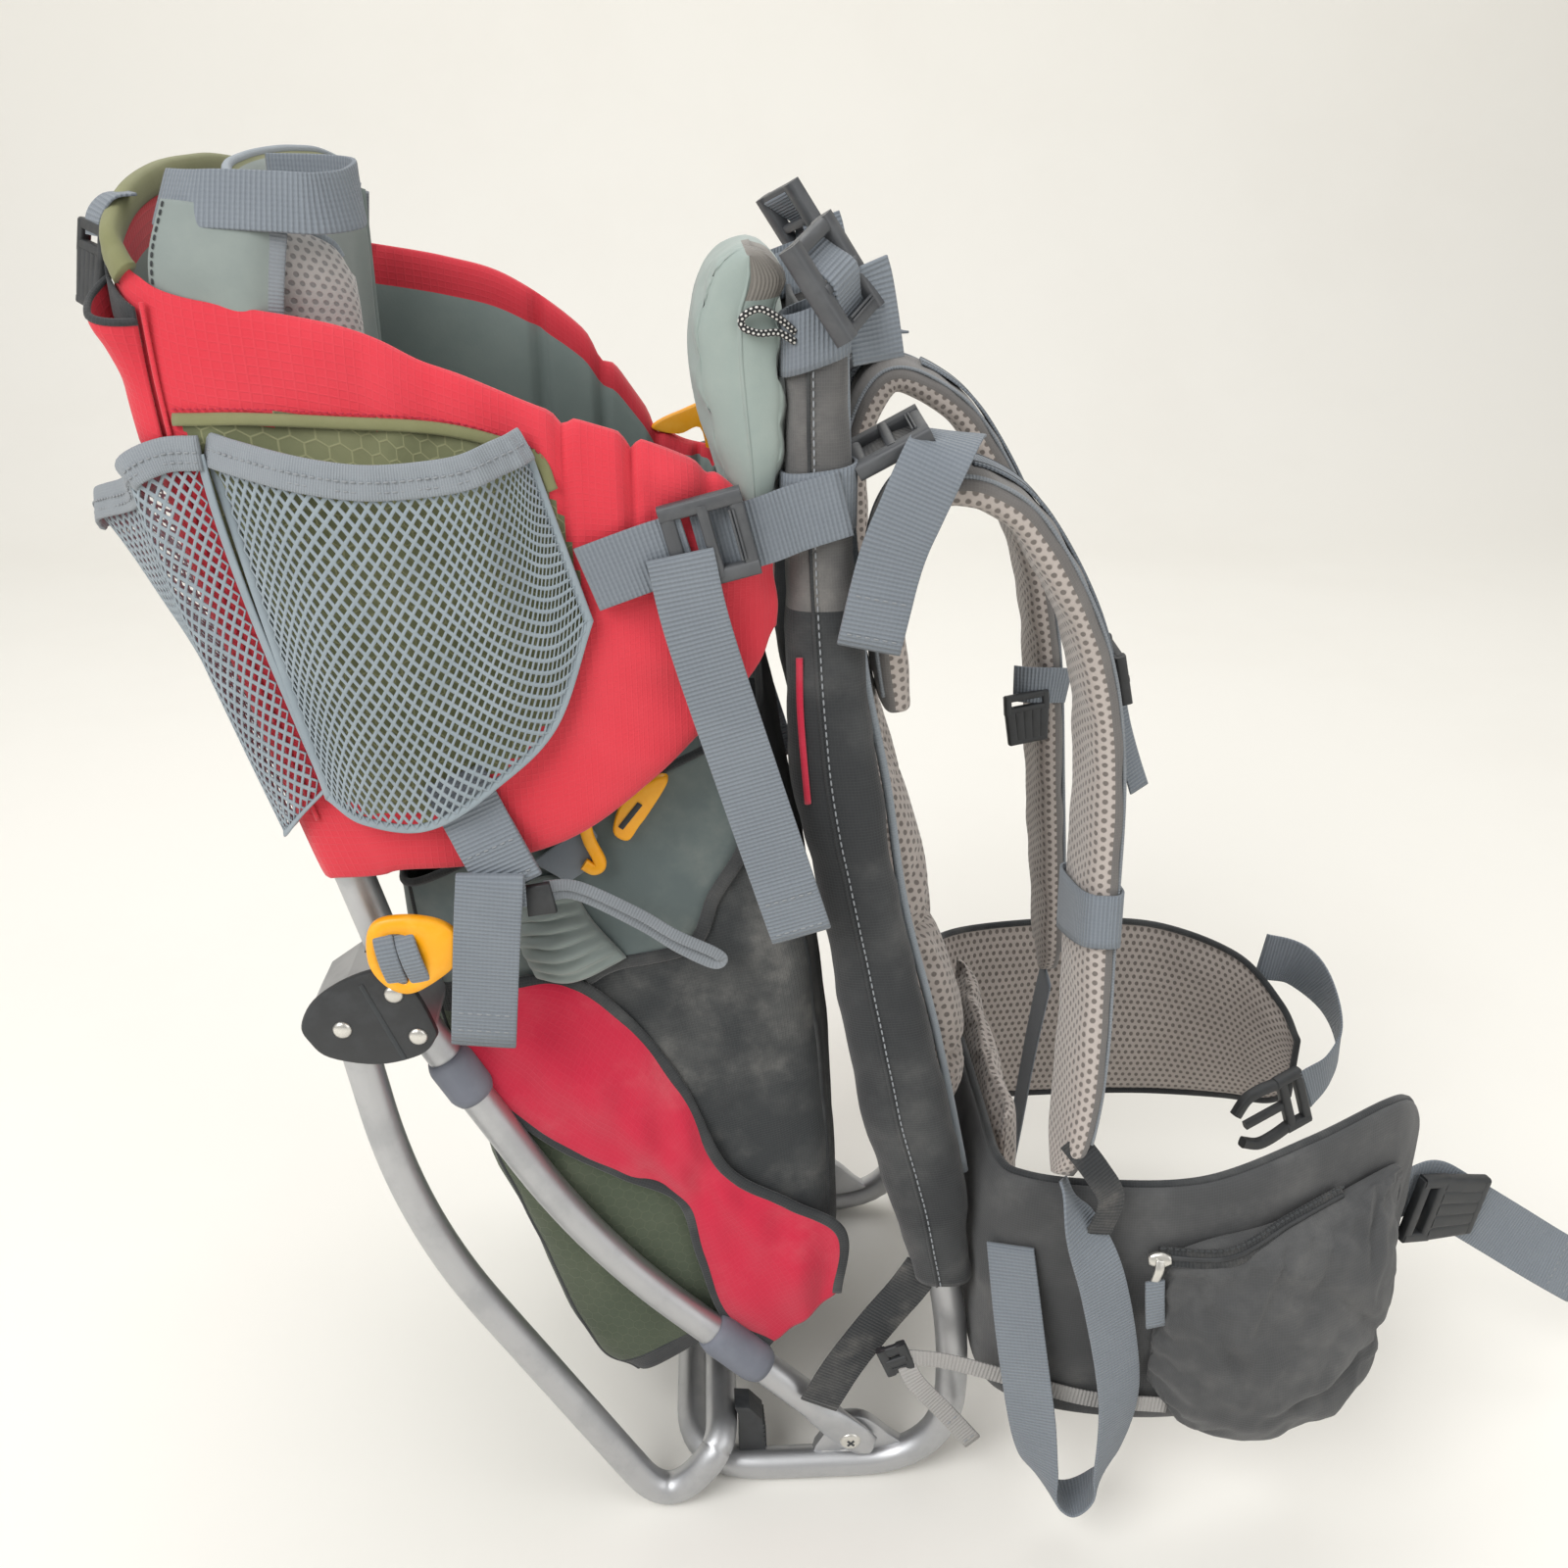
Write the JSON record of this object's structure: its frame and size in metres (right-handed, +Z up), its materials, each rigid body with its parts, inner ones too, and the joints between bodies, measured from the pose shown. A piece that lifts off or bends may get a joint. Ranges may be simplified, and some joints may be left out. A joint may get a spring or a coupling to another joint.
{
  "type": "child carrier backpack",
  "caption": "Child carrier backpack with a bent aluminium frame, folding kickstand, padded cabin with headrest, cargo bag, shoulder straps and padded hip belt.",
  "frame": {"origin": "on the floor under the middle of the base cross bar, on the bar's lower flat", "axes": "+X towards the wearer's front, +Y towards the wearer's left, +Z up"},
  "size_m": [0.8585, 0.3583, 0.7565],
  "materials": {
    "frame_tube": "satin anodised tube",
    "plastic_black": "matte black plastic",
    "plastic_grey": "matte grey plastic",
    "plastic_yellow": "glossy yellow plastic",
    "fabric_red": "padded ripstop cloth",
    "fabric_grey": "woven grey cloth",
    "fabric_black": "dusty charcoal cloth",
    "fabric_beige_mesh": "beige spacer mesh over foam",
    "mesh_grey": "open stretch mesh",
    "webbing_grey": "ribbed webbing"
  },
  "bodies": {
    "carrier": {"base_frame": "frame_tube", "seat_stay": "frame_tube", "kickstand_clip_right": "plastic_black", "kickstand_clip_left": "plastic_black", "hinge_plate_right": "plastic_black", "hinge_plate_left": "plastic_black", "hinge_body_right": "frame_tube", "hinge_body_left": "frame_tube", "stay_sleeve_lower_right": "plastic_grey", "stay_sleeve_lower_left": "plastic_grey", "stay_sleeve_upper_right": "plastic_grey", "stay_sleeve_upper_left": "plastic_grey", "cabin_wall": "fabric_red", "headrest": "fabric_beige_mesh", "headrest_handle": "webbing_grey", "child_seat": "fabric_grey", "side_pocket_right": "mesh_grey", "side_pocket_left": "mesh_grey", "rear_pocket": "mesh_grey", "cargo_bag": "fabric_black", "side_flap_right": "fabric_red", "side_flap_left": "fabric_red", "upright_cover_right": "fabric_black", "upright_cover_left": "fabric_black", "back_panel": "fabric_black", "back_pad_right": "fabric_beige_mesh", "back_pad_left": "fabric_beige_mesh", "chin_pad": "fabric_grey", "hip_fin_right": "fabric_black", "hip_fin_left": "fabric_black", "hip_pocket": "fabric_black", "lumbar_pad": "fabric_beige_mesh", "belt_webbing_right": "webbing_grey", "belt_webbing_left": "webbing_grey", "belt_buckle_right": "plastic_black", "belt_buckle_left": "plastic_black", "shoulder_strap_right": "fabric_beige_mesh", "shoulder_strap_left": "fabric_beige_mesh", "lifter_webbing_right": "webbing_grey", "lifter_webbing_left": "webbing_grey", "lifter_lock_right": "plastic_black", "lifter_lock_left": "plastic_black", "shoulder_lock_right": "plastic_black", "shoulder_lock_left": "plastic_black", "shoulder_tail_right": "webbing_grey", "shoulder_tail_left": "webbing_grey", "strap_loop_right": "webbing_grey", "strap_loop_left": "webbing_grey", "side_strap_right": "webbing_grey", "side_strap_left": "webbing_grey", "side_tail_right": "webbing_grey", "side_tail_left": "webbing_grey", "side_lock_right": "plastic_black", "side_lock_left": "plastic_black", "seat_strap_right": "webbing_grey", "seat_strap_left": "webbing_grey", "seat_lock_right": "plastic_yellow", "seat_lock_left": "plastic_yellow"},
    "kickstand": {"kickstand": "frame_tube"}
  },
  "joints": [
    {"name": "kickstand_swing", "type": "hinge", "parent": "carrier", "child": "kickstand", "pos_m": [-0.165, 0, 0.355], "axis": [0, 1, 0], "range_deg": [0, 60]}
  ]
}
